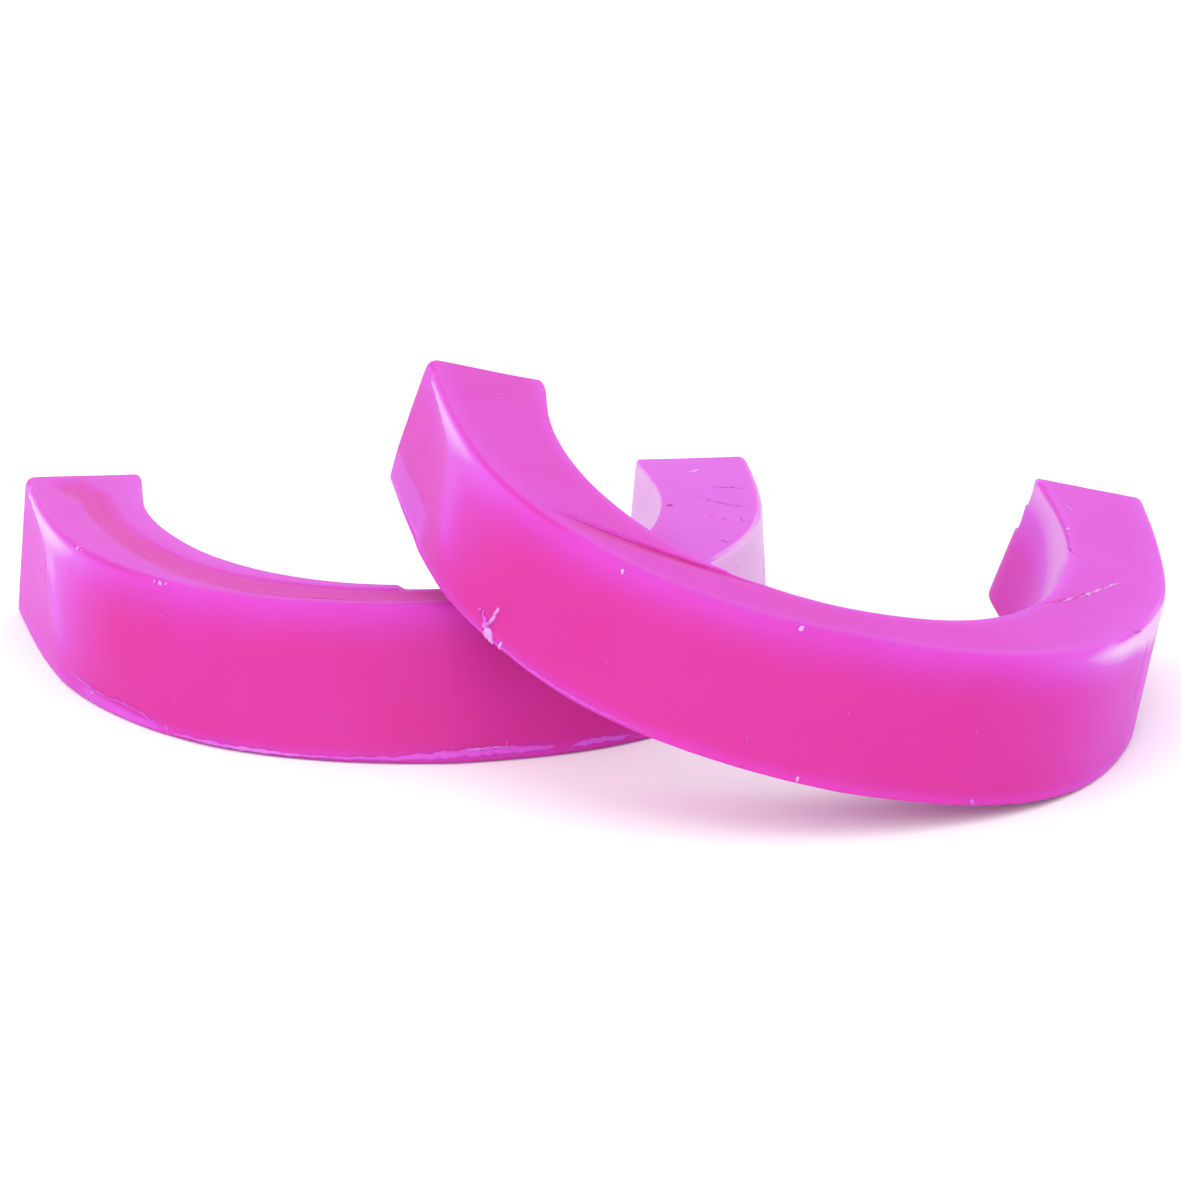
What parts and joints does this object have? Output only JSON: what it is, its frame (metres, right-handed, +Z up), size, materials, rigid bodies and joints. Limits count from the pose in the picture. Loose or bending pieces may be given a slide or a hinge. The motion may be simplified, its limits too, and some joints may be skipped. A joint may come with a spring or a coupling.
{
  "type": "wax bite rim pair",
  "caption": "Pair of U-shaped translucent pink wax bite rims for denture work, one lying flat and one leaning across it.",
  "frame": {"origin": "on the surface the pair lies on, under the middle of the pair's footprint", "axes": "+Z up; +Y from the closed front of the lying rim back to its open heels; +X to the side the other rim leans on"},
  "size_m": [0.0918, 0.0638, 0.0277],
  "materials": {
    "wax": "soft satin gloss; translucent pink dental wax, lighter and more lilac at thin edges"
  },
  "bodies": {
    "lying": {"lying_rim": "wax"},
    "leaning": {"leaning_rim": "wax"}
  },
  "joints": [
    {"name": "lift_off", "type": "slide", "parent": "lying", "child": "leaning", "axis": [0, 0, 1], "range_m": [0, 0.03]}
  ]
}
